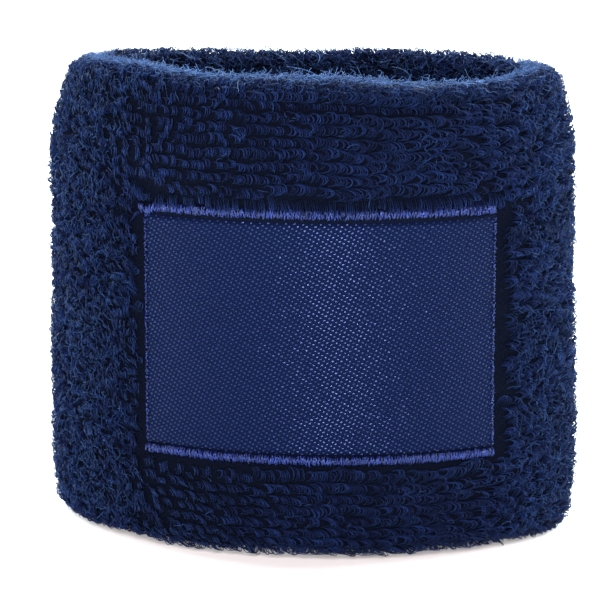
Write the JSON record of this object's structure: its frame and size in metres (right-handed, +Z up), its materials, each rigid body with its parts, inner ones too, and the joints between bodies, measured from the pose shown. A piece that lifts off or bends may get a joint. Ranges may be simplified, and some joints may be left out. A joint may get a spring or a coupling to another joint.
{
  "type": "terry sweat wristband",
  "caption": "Folded double-layer terry knit wristband with an oval wrist opening, laid-in elastic yarn and a stitched woven label on the front.",
  "frame": {"origin": "centre of the band's footprint, on the level strip of the lower fold", "axes": "+Z up along the band's open axis, +X along the band's long oval axis, +Y towards the back; the label faces -Y"},
  "size_m": [0.0682, 0.042, 0.06],
  "materials": {
    "terry_knit": "looped cotton terry pile, matte, deep navy",
    "seam_thread": "overlocked polyester thread, navy",
    "elastic_yarn": "covered elastic yarn, off-white",
    "label_cloth": "satin-woven polyester, blue, fine dotted weave",
    "label_thread": "rayon embroidery thread, bright blue, slight gloss"
  },
  "bodies": {
    "root": {"terry_sleeve": "terry_knit", "closing_seam_thread": "seam_thread", "elastic_yarn_01": "elastic_yarn", "elastic_yarn_02": "elastic_yarn", "elastic_yarn_03": "elastic_yarn", "elastic_yarn_04": "elastic_yarn", "elastic_yarn_05": "elastic_yarn", "elastic_yarn_06": "elastic_yarn", "elastic_yarn_07": "elastic_yarn", "elastic_yarn_08": "elastic_yarn", "elastic_yarn_09": "elastic_yarn", "elastic_yarn_10": "elastic_yarn", "elastic_yarn_11": "elastic_yarn", "woven_label": "label_cloth", "label_stitch_top": "label_thread", "label_stitch_bottom": "label_thread", "label_stitch_left": "label_thread", "label_stitch_right": "label_thread", "bobbin_thread_top": "label_thread", "bobbin_thread_bottom": "label_thread"}
  },
  "joints": []
}
